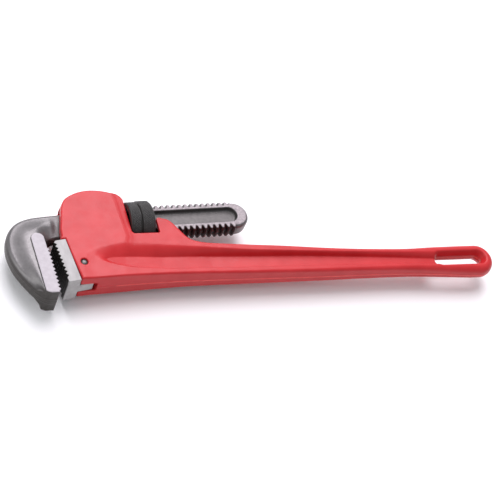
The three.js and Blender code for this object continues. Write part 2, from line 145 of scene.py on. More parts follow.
SEAT_TOP = (-63.7, -18.7)
SEAT_LEAN = math.radians(6.6)
HEEL_HEIGHT = 37.2
HEEL_DEPTH = 9.5
JAW_HALF = 12.5
HEEL_TEETH = 10
TOOTH_PITCH = 3.5
TOOTH_DEPTH = 1.6
TOOTH_TRIM = 0.2  # extra depth that makes up for the skin's rounding of the tips
HEEL_TIP = 0.43  # where a tooth's tip stands, in parts of the pitch
HOOK_TIP = 0.5
TANG_HALF = 4.2
TANG_LENGTH = 11.6
TANG_TOP = -15.0
TANG_FOOT = -37.0
TANG_ROOT = -1.0  # inside the jaw
PIN_PLACE = (7.6, -22.0)
PIN_R = 2.5
PIN_DOME = 0.9
FIT = 0.35  # gap between fitted pieces

HOOK_TOOTH_TOP = (-77.5, -28.9)
HOOK_TOOTH_END = (-76.4, -63.9)
HOOK_TEETH = 10
HOOK_HALF = 12.8
FLANK_HALF = 11.3
FORGING_GROWTH = 0.35  # of the forging over its outline
FORGING_DRAFT = 0.08
FORGING_ROUND = 2.6
THROAT_ROUND = 1.0
HOOK_FLASH = 0.2  # height of the ridge that the forging dies left on each side of the middle
HOOK_FLASH_PLACE = 2.4
HOOK_FLASH_HALF = 0.7
TIP_CORNER = (-85.5, -62.5)  # from which the point of the hook thins out
TIP_SLOPE = 0.6
SCOOP_CENTRE = (-67.0, -12.0, 22.0)  # of the hollow between the pad's round end and the head
SCOOP_R = 16.6
PAD_TOP = (-84.4, -16.8)
PAD_TOP_R = 4.9
PAD_FOOT = (-86.9, -62.5)

COIL_R = 3.1
COIL_WIRE_R = 0.6
COIL_TURNS = 6
COIL_LEVEL = 0.04  # share of the wire at each end that doesn't climb
WIRE_SIDES = 14
COIL_PLACE = -38.0
COIL_HEIGHT = 10.0
WELL_R = 4.4
WELL_DEPTH = 13.0
LEAF_START = -56.0
LEAF_END = -20.0
LEAF_TOP = 17.6
LEAF_HALF = 3.6
LEAF_THICK = 0.8
LEAF_BOW = 0.9
RIVET_PLACE = -52.0
RIVET_R = 1.5
RIVET_HEAD_R = 2.4
RIVET_LENGTH = 3.0

# ---- outlines ----


def smooth_run(points, per_span=8):
    """Points on a smooth curve through a few places, first and last included."""
    p = np.array([points[0], *points, points[-1]], float)
    t = np.linspace(0, 1, per_span, endpoint=False)[:, None]
    run = [
        0.5
        * (
            2 * b
            + (c - a) * t
            + (2 * a - 5 * b + 4 * c - d) * t**2
            + (3 * b - a - 3 * c + d) * t**3
        )
        for a, b, c, d in zip(p, p[1:], p[2:], p[3:])
    ]
    return np.vstack([*run, p[-1:]])


def bend(start, pull, end, steps=8):
    """Points on a curve from start to end that leans towards pull."""
    t = np.linspace(0, 1, steps)[:, None]
    a, b, c = (np.array(q, float) for q in (start, pull, end))
    return (1 - t) ** 2 * a + 2 * t * (1 - t) * b + t**2 * c


def arc(centre, radius, start, end, steps=16):
    turn = np.radians(np.linspace(start, end, steps))
    return np.c_[centre[0] + radius * np.cos(turn), centre[1] + radius * np.sin(turn)]


def frame_outline():
    return np.vstack(
        [
            [(-59.2, -55.6), (-24, -55.3)],
            smooth_run(
                [(-24, -55.3), (10, -55.5), (41, -56.5), (75, -58.2), (108, -59.8), (143, -61.5),
                 (180, -63), (216, -64.9), (240, -67.1), (262, -69.7), (280, -71.8)], 5),
            arc(END_CENTRE, END_R, -90, 90, 24),
            smooth_run(
                [(279, -43.4), (267, -43.2), (247, -43), (227, -43.1), (204, -42.1), (174.5, -39.9),
                 (146, -37), (111.5, -32.9), (85, -30.3), (64, -28.2), (47, -26.2), (39, -23.8)], 5),
            bend((39, -23.8), (35, -22), (32.5, -17.5)),
            bend((27.2, -8.6), (23.5, -2.2), (18.5, -2)),
            bend((15.5, -2), (WINDOW_REAR, -2), (WINDOW_REAR, -5)),
            [(WINDOW_REAR, WINDOW_FLOOR)],
            bend(
                (WINDOW_FRONT + 3, WINDOW_FLOOR),
                (WINDOW_FRONT, WINDOW_FLOOR),
                (WINDOW_FRONT, WINDOW_FLOOR + 3),
            ),
            bend((WINDOW_FRONT, 15.5), (-11.2, 20.6), (-18.5, 23.6)),
            bend((-18.5, 23.6), (-27, 26.8), (-35.5, 26.8)),
            bend((-35.5, 26.8), (-47, 26.6), (-56, 20.2)),
            bend((-56, 20.2), (-59.8, 17), (-61.8, 10)),
            [(-66.2, -9), (-67, -18.3), (-63.4, -18.3), (-63.4, -19.0)],
            [into_seat(0.35, -0.5), into_seat(0.35, -36.9)],
        ]
    )


def flute_lip():
    """Where the flute leaves the broad side, from the head to the hanging hole."""
    return np.vstack(
        [
            bend((-46, -34.5), (-45.5, -29), (-39, -27.6)),
            smooth_run(
                [(-30.7, -25.5), (-18, -24.3), (-5.7, -24.9), (20, -27.8), (46, -31.1), (70, -34.3),
                 (95.4, -37.2), (127, -40), (160, -42.8), (190, -45.2), (216, -47), (252, -49.2)], 6),
            [(252, -63)],
            smooth_run(
                [(245, -62.5), (220, -60.4), (190, -58.6), (156, -56.8), (120, -55), (86, -53.4),
                 (52, -52), (19, -50.6), (-5, -48.9), (-21, -46.7), (-34, -42.8)], 6),
            bend((-34, -42.8), (-45, -39.5), (-46, -34.5)),
        ]
    )


def flute_foot():
    """Where the flute's walls meet the web."""
    return np.vstack(
        [
            bend((-36, -37.0), (-34, -34.8), (-14, -34.8)),
            smooth_run(
                [(-14, -34.8), (10, -35.6), (42, -36.6), (84, -39.4), (127, -42.3), (171, -46.3),
                 (216, -50.7), (252, -54.6)], 6),
            [(252, -60.5)],
            smooth_run(
                [(245, -60), (220, -57.9), (190, -56.1), (156, -54.3), (120, -52.5), (86, -50.9),
                 (52, -49.5), (19, -48.4), (-5, -46.4), (-20, -43)], 6),
            bend((-20, -43), (-35, -40.5), (-36, -37.0)),
        ]
    )


def into_seat(x, y):
    """A place given along and up the heel jaw's leaning seat."""
    c, s = math.cos(SEAT_LEAN), math.sin(SEAT_LEAN)
    return SEAT_TOP[0] + c * x - s * y, SEAT_TOP[1] + s * x + c * y


def from_seat(x, y):
    """Places along and up the heel jaw's seat."""
    c, s = math.cos(SEAT_LEAN), math.sin(SEAT_LEAN)
    dx, dy = x - SEAT_TOP[0], y - SEAT_TOP[1]
    return c * dx + s * dy, c * dy - s * dx


def saw_edge(start, end, teeth, depth, tip):
    """Corners of a saw-toothed edge. Teeth of a negative depth stand to the right of the way taken."""
    start, end = np.array(start), np.array(end)
    way = (end - start) / teeth
    side = np.array([-way[1], way[0]]) / np.hypot(*way) * depth
    edge = [q for i in range(teeth) for q in (start + way * i, start + way * (i + tip) + side)]
    return np.array([*edge, end])


def heel_outline():
    """In the seat's own axes."""
    line, bottom = -HEEL_DEPTH + TOOTH_DEPTH, -HEEL_TEETH * TOOTH_PITCH
    edge = saw_edge((line, 0), (line, bottom), HEEL_TEETH, -TOOTH_DEPTH - TOOTH_TRIM, HEEL_TIP)
    land = -HEEL_DEPTH - TOOTH_TRIM
    below = [(land, bottom - 0.5), (land, -HEEL_HEIGHT), (0, -HEEL_HEIGHT)]
    return np.vstack([[(0, 0)], edge[:-1], below])


def hook_outline():
    end, top = ((x - TOOTH_DEPTH, y) for x, y in (HOOK_TOOTH_END, HOOK_TOOTH_TOP))
    x0 = THREAD_START
    return np.vstack(
        [
            [(x0 + 8, 11), (x0 - 4, 9.9)],
            smooth_run(
                [(x0 - 4, 9.9), (-61.5, 8.9), (-68.3, 8.5), (-76.2, 8.0), (-84.6, 7.1), (-92.8, 4.6),
                 (-99.0, 0.4), (-103.6, -5.9), (-106.0, -13), (-106.6, -21), (-105.6, -29.5),
                 (-103, -38.5), (-97.8, -49), (-91.8, -58.4), (-87, -62.9), (-83.5, -64.6)], 6),
            [(end[0] + 1, end[1] - 0.9)],
            saw_edge(end, top, HOOK_TEETH, -TOOTH_DEPTH - TOOTH_TRIM, HOOK_TIP),
            [(-77.8, -27.4), (-78.7, -25.6)],
            bend((-78.7, -23.4), (-76.6, -15.4), (-71.5, -14.2), 10),
            [(-67, -13.0), (x0 - 2, -13.0), (x0 + 8, -10.5)],
        ]
    )


# ---- distance fields: millimetres, negative inside ----


def outline_distance(loop, x, y):
    """Signed distance from a closed loop of corners."""
    x, y = np.broadcast_arrays(x, y)
    nearest = np.full(x.shape, 1e9, np.float32)
    inside = np.zeros(x.shape, bool)
    for (ax, ay), (bx, by) in zip(loop, np.roll(loop, -1, axis=0)):
        ex, ey = float(bx - ax), float(by - ay)
        if ex * ex + ey * ey < 1e-8:
            continue
        t = np.clip(((x - ax) * ex + (y - ay) * ey) / (ex * ex + ey * ey), 0, 1)
        nearest = np.minimum(nearest, (x - ax - t * ex) ** 2 + (y - ay - t * ey) ** 2)
        if ay != by:
            inside ^= ((ay > y) != (by > y)) & (x < ax + (y - ay) * (ex / ey))
    away = np.sqrt(nearest)
    return np.where(inside, -away, away).astype(np.float32)


def slot_distance(start, end, radius, x, y):
    """Signed distance from a round-ended slot."""
    ex, ey = end[0] - start[0], end[1] - start[1]
    t = np.clip(((x - start[0]) * ex + (y - start[1]) * ey) / (ex * ex + ey * ey), 0, 1)
    return np.hypot(x - start[0] - t * ex, y - start[1] - t * ey) - radius


def box_distance(x, y, z, low, high):
    return np.maximum.reduce(
        np.broadcast_arrays(
            low[0] - x, x - high[0], low[1] - y, y - high[1], low[2] - z, z - high[2]
        )
    )


def both(a, b, radius):
    """Where two fields overlap, with the edge between them rounded."""
    u, v = np.maximum(a + radius, 0), np.maximum(b + radius, 0)
    return np.minimum(-radius, np.maximum(a, b)) + np.sqrt(u * u + v * v)


def either(a, b, radius):
    """Two fields joined, with a fillet between them."""
    return -both(-a, -b, radius)


def less(a, b, radius):
    """The first field without the second, with the edge of the cut rounded."""
    return both(a, -b, radius)


def along(stations, x):
    return np.interp(x, [s[0] for s in stations], [s[1] for s in stations]).astype(np.float32)


def ease(x, start, end):
    """From 0 at start to 1 at end, smoothly."""
    t = np.clip((x - start) / (end - start), 0, 1)
    return t * t * (3 - 2 * t)


def lattice(low, high, step):
    """The three axes of a grid of places, as arrays that broadcast."""
    x, y, z = (
        np.arange(a - 2 * step, b + 3 * step, step, dtype=np.float32) for a, b in zip(low, high)
    )
    return x[:, None, None], y[None, :, None], z[None, None, :]


# ---- from numbers to meshes ----


def add_mesh(name, vertices, faces):
    """A smooth-shaded mesh object. Vertices are in the wrench's millimetres."""
    mesh = bpy.data.meshes.new(name)
    places = np.asarray(vertices, float) * MM + np.array(ORIGIN)
    mesh.vertices.add(len(places))
    mesh.vertices.foreach_set("co", places.astype(np.float32).ravel())
    faces = np.asarray(faces, np.int32)
    sides = faces.shape[1]
    mesh.loops.add(faces.size)
    mesh.loops.foreach_set("vertex_index", faces.ravel())
    mesh.polygons.add(len(faces))
    mesh.polygons.foreach_set("loop_start", np.arange(0, faces.size, sides, dtype=np.int32))
    mesh.update(calc_edges=True)
    mesh.validate()
    mesh.shade_smooth()
    piece = bpy.data.objects.new(name, mesh)
    bpy.context.scene.collection.objects.link(piece)
    return piece


def skin(name, field, axes):
    """The closed surface where the field is zero: one vertex for each cell that it crosses."""
    inside = field < 0
    corners = [(i, j, k) for i in (0, 1) for j in (0, 1) for k in (0, 1)]
    size = [n - 1 for n in field.shape]
    filled = sum(
        inside[i : i + size[0], j : j + size[1], k : k + size[2]].astype(np.uint8)
        for i, j, k in corners
    )
    cells = np.argwhere((filled > 0) & (filled < 8))
    number = np.full(size, -1, np.int32)
    number[tuple(cells.T)] = np.arange(len(cells))
    total = np.zeros((len(cells), 3))
    count = np.zeros(len(cells))
    for a in corners:
        for axis in range(3):
            if a[axis]:
                continue
            b = tuple(a[n] + (n == axis) for n in range(3))
            fa = field[tuple((cells + a).T)].astype(float)
            fb = field[tuple((cells + b).T)].astype(float)
            crossed = (fa < 0) != (fb < 0)
            share = np.where(crossed, fa / np.where(crossed, fa - fb, 1), 0)
            place = np.array(a, float) + share[:, None] * (np.array(b) - np.array(a))
            total += np.where(crossed[:, None], place, 0)
            count += crossed
    start = np.array([axis.ravel()[0] for axis in axes])
    step = float(axes[0].ravel()[1] - axes[0].ravel()[0])
    vertices = start + (cells + total / count[:, None]) * step
    faces = []
    for axis in range(3):
        u, v = (axis + 1) % 3, (axis + 2) % 3
        ahead = np.roll(inside, -1, axis=axis)
        crossed = inside != ahead
        limit = [slice(1, n) for n in size]
        limit[axis] = slice(0, size[axis])
        spots = np.argwhere(crossed[tuple(limit)])
        spots += np.array([s.start for s in limit])
        out = inside[tuple(spots.T)]
        du, dv = np.zeros(3, int), np.zeros(3, int)
        du[u], dv[v] = 1, 1
        ring = [spots - du - dv, spots - dv, spots, spots - du]
        quad = np.stack([number[tuple(r.T)] for r in ring], axis=1)
        quad[~out] = quad[~out][:, ::-1]
        faces.append(quad)
    return add_mesh(name, vertices, np.vstack(faces))


def swept(name, grid, capped=False):
    """A surface over a grid of places that closes on itself both ways, or has capped ends."""
    rows, columns = grid.shape[:2]
    index = np.arange(rows * columns).reshape(rows, columns)
    below = np.roll(index, -1, axis=0)
    quads = np.stack(
        [index, np.roll(index, -1, axis=1), np.roll(below, -1, axis=1), below], axis=-1
    )
    if capped:
        quads = quads[:-1]
    piece = add_mesh(name, grid.reshape(-1, 3), quads.reshape(-1, 4))
    if capped:
        edit = bmesh.new()
        edit.from_mesh(piece.data)
        bmesh.ops.holes_fill(edit, edges=[e for e in edit.edges if e.is_boundary], sides=0)
        edit.to_mesh(piece.data)
        edit.free()
    face_outwards(piece)
    return piece


def face_outwards(piece):
    edit = bmesh.new()
    edit.from_mesh(piece.data)
    bmesh.ops.recalc_face_normals(edit, faces=edit.faces)
    edit.to_mesh(piece.data)
    edit.free()


def put(piece, node, body, material):
    piece.data.materials.append(material)
    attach(piece, body)
    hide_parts(node)


# ---- the frame casting ----

# The flat raised cheek of the head, which the rest of the casting falls away from.
CHEEK = [
    (-90, 40), (-19.5, 40), (-18, 10), (-16.5, -19), (-18.5, -23.5), (-24, -25), (-39, -28),
    (-50, -33), (-55, -44), (-56, -80), (-90, -80),
]


def thread_radius(x, angle, crest, root, gap=0.0):
    """Radius of the right-hand screw thread at a place along the shank and round it."""
    turn = (x - THREAD_START + THREAD_SHIFT) / PITCH - angle / (2 * math.pi)
    part = turn - np.floor(turn)
    slack = gap / PITCH
    places = [0, THREAD_RISE[0] - slack, THREAD_RISE[1] - slack, THREAD_FALL[0] + slack, THREAD_FALL[1]]
    return np.interp(part, places, [root + gap, root + gap, crest + gap, crest + gap, root + gap])


def frame_field(x, y, z):
    deep = np.abs(z)
    seat = ease(x, -58, -62) * ease(y, -15, -18)
    window = ease(x, -20, -13) * ease(x, 19, 14) * ease(y, -23, -18)
    rim = outline_distance(frame_outline(), x, y) + DRAFT * deep * (1 - np.maximum(seat, window))
    fall = np.clip(outline_distance(CHEEK, x, y) / CHEEK_FALL, 0, 1)
    half = HEAD_HALF + (along(CASTING_HALF, x) - HEAD_HALF) * (1 - (1 - fall) ** 2)
    trimmed = 1 - np.maximum(window, ease(x, -40, -48))
    flash = FLASH * np.exp(-((deep / FLASH_HALF) ** 2)) * trimmed
    body = both(rim - flash, deep - half, along(EDGE_ROUND, x) * (1 - WINDOW_SHARPNESS * window))

    floor = WEB_HALF + along(FLUTE_RISE, x)
    inward = np.maximum(-outline_distance(flute_lip(), x, y), 0)
    short = np.maximum(outline_distance(flute_foot(), x, y), 0)
    sink = (inward / (inward + short + 1e-3)) ** WALL_CURVE
    body = np.maximum(body, (deep - half + (half - floor) * sink) * WALL_SCALE)
    mouth = FUNNEL * np.maximum(deep - FUNNEL_START, 0)
    body = less(body, slot_distance(HOLE_START, HOLE_END, HOLE_R, x, y) - mouth, 0.8)

    low, high = -CHANNEL_HALF, CHANNEL_HALF
    channel = box_distance(x, y, z, (-90, CHANNEL_FLOOR, low), (0, CHANNEL_ROOF, high))
    cradle = box_distance(x, y, z, (0, CRADLE_FLOOR, low), (60, CHANNEL_ROOF, high))
    body = less(body, np.minimum(channel, cradle), 0.7)
    well = np.maximum(np.hypot(y, z) - NUT_WELL_R, np.maximum(WINDOW_FRONT - x, x - WINDOW_REAR))
    body = less(body, well, 0.5)

    coil_well = np.maximum(y - CHANNEL_FLOOR - 1, CHANNEL_FLOOR - WELL_DEPTH - y)
    coil_well = np.maximum(np.hypot(x - COIL_PLACE, z) - WELL_R, coil_well)
    side = LEAF_HALF + 0.8
    leaf_slot = box_distance(
        x, y, z, (LEAF_START - 0.6, CHANNEL_ROOF - 1, -side), (LEAF_END + 2, LEAF_TOP + 0.4, side)
    )
    rivet_bore = np.maximum(y - LEAF_TOP - RIVET_LENGTH, LEAF_TOP - 1.4 - y)
    rivet_bore = np.maximum(np.hypot(x - RIVET_PLACE, z) - RIVET_R - FIT, rivet_bore)
    body = less(body, np.minimum(np.minimum(coil_well, leaf_slot), rivet_bore), 0.4)

    u, v = from_seat(x, y)
    tang = np.maximum(np.maximum(-3 - u, u - TANG_LENGTH - 2.6), v - TANG_TOP - 1.2)
    tang = np.maximum(tang, deep - TANG_HALF - FIT)
    chamfer = np.maximum((deep + u - TANG_HALF - 2) / 1.4, np.maximum(np.abs(u - 0.5) - 2, v + 14))
    body = less(body, np.minimum(tang, chamfer), 0.5)
    return less(body, np.hypot(u - PIN_PLACE[0], v - PIN_PLACE[1]) - PIN_R - 0.25, 0.7)


# ---- the jaws ----


def heel_field(x, y, z):
    u, v = from_seat(x, y)
    deep = np.abs(z)
    outline = outline_distance(heel_outline(), u, v)
    body = both(outline, deep - JAW_HALF, 0.2)
    tang = np.maximum(np.maximum(TANG_ROOT - u, u - TANG_LENGTH), v - TANG_TOP)
    tang = both(np.maximum(tang, TANG_FOOT - v), deep - TANG_HALF, 0.4)
    body = either(body, tang, 0.5)
    return less(body, np.hypot(u - PIN_PLACE[0], v - PIN_PLACE[1]) - PIN_R - 0.05, 0.3)


def way_back(x, y):
    """How far behind the hook's tooth line a place is."""
    (tx, ty), (ex, ey) = HOOK_TOOTH_TOP, HOOK_TOOTH_END
    length = math.hypot(ex - tx, ey - ty)
    return ((x - tx) * (ey - ty) - (y - ty) * (ex - tx)) / length


def pad_distance(x, y):
    """Signed distance from the pad's outline, which is left open towards the teeth."""
    round_top = slot_distance(PAD_TOP, (PAD_FOOT[0] + PAD_TOP_R, PAD_FOOT[1] - 9), PAD_TOP_R, x, y)
    dx, dy = PAD_FOOT[0] - PAD_TOP[0] + PAD_TOP_R, PAD_FOOT[1] - PAD_TOP[1]
    behind = ((x - PAD_FOOT[0]) * dy - (y - PAD_FOOT[1]) * dx) / math.hypot(dx, dy)
    return np.minimum(round_top, np.maximum(behind, y + 26))


def panel_distance(x, y):
    """Signed distance from the outline of the recess in the shank's broad sides."""
    return slot_distance((PANEL_START, 0), (PANEL_END, 0), PANEL_HALF, x, y)


def hook_field(x, y, z):
    deep = np.abs(z)
    back = way_back(x, y)
    toothed = outline_distance(hook_outline(), x, y)
    blank = np.maximum(toothed, TOOTH_DEPTH + 0.4 - back)
    blank = np.where(y > HOOK_TOOTH_TOP[1] + 1.5, toothed, blank) - FORGING_GROWTH
    pad = pad_distance(x, y)
    inward = np.maximum(-blank, 0)
    swell = ease(inward / (inward + np.maximum(pad - 0.5, 0) + 0.1), 0, 1) * ease(x, -66, -71)
    half = SHANK_HALF - 0.2 + (FLANK_HALF - SHANK_HALF) * swell
    from_corner = np.hypot(x - TIP_CORNER[0], y - TIP_CORNER[1])
    half = np.maximum(half, HOOK_HALF - 1 - TIP_SLOPE * from_corner)
    ridge = (deep - HOOK_FLASH_PLACE) / HOOK_FLASH_HALF
    flash = HOOK_FLASH * np.exp(-(ridge**2)) * ease(x, -62, -70)
    throat = ease(y, -8, -12) * ease(x, -80, -76)
    corner = FORGING_ROUND + (THROAT_ROUND - FORGING_ROUND) * throat
    forging = both(blank - flash + FORGING_DRAFT * deep, deep - half, corner)
    sx, sy, sz = SCOOP_CENTRE
    scoop = np.sqrt((x - sx) ** 2 + (y - sy) ** 2 + (deep - sz) ** 2) - SCOOP_R
    forging = less(forging, scoop, 4.5)
    pad = both(both(pad, toothed, 0.2), deep - HOOK_HALF, 0.2)

    angle = np.arctan2(z, y)
    thread = np.hypot(y, z) - thread_radius(x, angle, THREAD_CREST_R, THREAD_ROOT_R)
    thread = thread * THREAD_SCALE
    thread = np.maximum(thread, np.maximum(THREAD_START - x, x - THREAD_END))
    eased_end = (THREAD_END - 1.5, 0)
    thread = np.maximum(thread, slot_distance((THREAD_START, 0), eased_end, THREAD_CREST_R, x, y))
    thread = both(thread, deep - SHANK_HALF, 0.3)
    tip = slot_distance((SHANK_END - 1, 0), (SHANK_END, 0), SHANK_END_R, x, y)
    tip = both(tip, deep - SHANK_HALF, 3.2)
    body = either(either(forging, pad, 0.3), either(thread, tip, 0.4), 0.6)

    panel = panel_distance(x, y)
    recess = both(panel + PANEL_DRAFT * (SHANK_HALF - deep), PANEL_FLOOR - deep, 1.4)
    return less(body, recess, 0.45)


# ---- turned and wound pieces ----


def nut_grid():
    """Closed both ways: along its section, and round the axis."""
    angle = np.linspace(0, 2 * math.pi, NUT_COLUMNS, endpoint=False)
    front, groove, rear = NUT_FRONT, NUT_GROOVE, NUT_REAR
    corners = [
        (front, NUT_FRONT_R - 1.8), (front + 0.2, NUT_FRONT_R - 0.7), (front + 0.8, NUT_FRONT_R),
        (groove, NUT_FRONT_R), (groove + 0.5, NUT_FRONT_R - 1), (groove + 1.1, NUT_FRONT_R - 1),
        (groove + 1.8, NUT_R), (rear - 2.2, NUT_R), (rear - 0.7, NUT_R - 1.2), (rear, NUT_R - 2.6),
    ]
    rows = []
    for (xa, ra), (xb, rb) in zip(corners, corners[1:]):
        steps = max(2, round(math.hypot(xb - xa, rb - ra) / NUT_ROW))
        for t in np.linspace(0, 1, steps, endpoint=False):
            rows.append((xa + t * (xb - xa), ra + t * (rb - ra)))
    rows.append(corners[-1])
    x = np.array([r[0] for r in rows])[:, None]
    radius = np.array([r[1] for r in rows])[:, None]
    around = KNURLS * angle / (2 * math.pi)
    lengthwise = (x - front) / KNURL_PITCH
    rising = np.abs(2 * ((around + lengthwise) % 1) - 1)
    falling = np.abs(2 * ((around - lengthwise) % 1) - 1)
    front_band = ease(x, front + 0.9, front + 1.6) * ease(x, groove + 0.1, groove - 0.3)
    rear_band = ease(x, groove + 1.7, groove + 2.1) * ease(x, rear - 1.6, rear - 2.4)
    cut = KNURL_DEPTH * np.clip(1.0 - KNURL_FLANK * np.minimum(rising, falling), 0, 1)
    outer_r = radius - cut * (front_band + rear_band)
    inner_x = np.linspace(rear, front, BORE_ROWS)[:, None]
    bore = thread_radius(inner_x, angle[None, :], THREAD_CREST_R, THREAD_ROOT_R, THREAD_GAP)
    lead = np.abs(inner_x - (front + rear) / 2) - (rear - front) / 2 + BORE_LEAD
    chamfer = BORE_LEAD_RISE * np.maximum(lead, 0) / BORE_LEAD
    bore = np.maximum(bore, THREAD_ROOT_R + BORE_GROWTH + chamfer)
    all_x = np.broadcast_to(np.vstack([x, inner_x]), (len(rows) + BORE_ROWS, NUT_COLUMNS))
    all_r = np.vstack([outer_r, bore])
    return np.stack([all_x, all_r * np.cos(angle), all_r * np.sin(angle)], axis=-1)


def wire_grid(centres, radius):
    """A round wire along a line of centres."""
    way = np.gradient(centres, axis=0)
    way /= np.linalg.norm(way, axis=1)[:, None]
    across = np.cross(way, np.array([0, 1.0, 0]))
    across /= np.linalg.norm(across, axis=1)[:, None]
    other = np.cross(way, across)
    turn = np.linspace(0, 2 * math.pi, WIRE_SIDES, endpoint=False)[:, None]
    ring = across[:, None] * np.cos(turn) + other[:, None] * np.sin(turn)
    return centres[:, None] + radius * ring


def coil_grid():
    """The coil under the shank, its wire level at both ends."""
    top = -THREAD_CREST_R - 0.5 - COIL_WIRE_R
    t = np.linspace(0, 1, 24 * COIL_TURNS + 1)
    turn = 2 * math.pi * COIL_TURNS * t
    rise = COIL_HEIGHT * (np.clip((t - COIL_LEVEL) / (1 - 2 * COIL_LEVEL), 0, 1) - 1)
    centres = np.c_[COIL_PLACE + COIL_R * np.cos(turn), top + rise, COIL_R * np.sin(turn)]
    return wire_grid(centres, COIL_WIRE_R)


def turned_grid(profile, columns=48):
    """A turned piece about the Z axis. Its profile is (radius, height) from end to end."""
    p = np.array(profile, float)
    turn = np.linspace(0, 2 * math.pi, columns, endpoint=False)
    height = np.broadcast_to(p[:, 1:], (len(p), columns))
    return np.stack([p[:, :1] * np.cos(turn), p[:, :1] * np.sin(turn), height], axis=-1)


def pin_grid():
    """A domed steel pin through the cheeks and the tang."""
    half = HEAD_HALF - 0.5
    dome = [(r, half - PIN_DOME * (r / PIN_R) ** 2.4) for r in np.linspace(0.05, PIN_R, 12)]
    profile = [(r, -h) for r, h in dome] + [(PIN_R, h) for h in np.linspace(-half + 1.2, half - 1.2, 12)]
    profile += [(r, h) for r, h in reversed(dome)]
    grid = turned_grid(profile)
    x, y = into_seat(*PIN_PLACE)
    return grid + np.array([x, y, 0])


def rivet_grid():
    """The round-headed rivet that holds the leaf, on end under the channel's roof."""
    low = -LEAF_THICK - 1.6
    bow = np.linspace(0.05, math.pi / 2, 10)
    head = [(RIVET_HEAD_R * math.sin(a), low + 0.8 - 0.8 * math.cos(a)) for a in bow]
    neck = [(RIVET_HEAD_R, low + 0.85), (RIVET_R, low + 0.9), (RIVET_R, RIVET_LENGTH - 0.6)]
    end = [(RIVET_R - 0.3, RIVET_LENGTH - 0.4), (0.05, RIVET_LENGTH - 0.4)]
    grid = turned_grid(head + neck + end, 32)
    upright = np.stack([grid[..., 0], grid[..., 2], grid[..., 1]], axis=-1)
    return upright + np.array([RIVET_PLACE, LEAF_TOP, 0])


def leaf_grid():
    """The bowed leaf as a loop of places across its width."""
    count = 40
    x = np.linspace(LEAF_START, LEAF_END, count)
    middle, span = (LEAF_START + LEAF_END) / 2, (LEAF_END - LEAF_START) / 2
    bow = LEAF_BOW * (1 - ((x - middle) / span) ** 2)
    low, high = LEAF_TOP - LEAF_THICK - bow, LEAF_TOP - bow
    edge = 0.18
    loop = [(-LEAF_HALF, edge), (-LEAF_HALF + edge, 0), (LEAF_HALF - edge, 0), (LEAF_HALF, edge)]
    loop += [(-side, LEAF_THICK - up) for side, up in loop]
    grid = np.zeros((count, len(loop), 3))
    for k, (side, up) in enumerate(loop):
        grid[:, k, 0] = x
        grid[:, k, 1] = low + up * (high - low) / LEAF_THICK
        grid[:, k, 2] = side
    return grid


# ---- finishes ----


def local_places(piece):
    """The vertices of a piece in the wrench's millimetres."""
    flat = np.zeros(len(piece.data.vertices) * 3, np.float32)
    piece.data.vertices.foreach_get("co", flat)
    return (flat.reshape(-1, 3) - np.array(ORIGIN)) / MM


def facings(piece):
    """Each vertex's normal."""
    flat = np.zeros(len(piece.data.vertices) * 3, np.float32)
    piece.data.vertex_normals.foreach_get("vector", flat)
    return flat.reshape(-1, 3)


def mark(piece, name, amount):
    """Stores a share from 0 to 1 at each vertex, for the material to read."""
    layer = piece.data.attributes.new(name, "FLOAT", "POINT")
    layer.data.foreach_set("value", np.clip(amount, 0, 1).astype(np.float32))


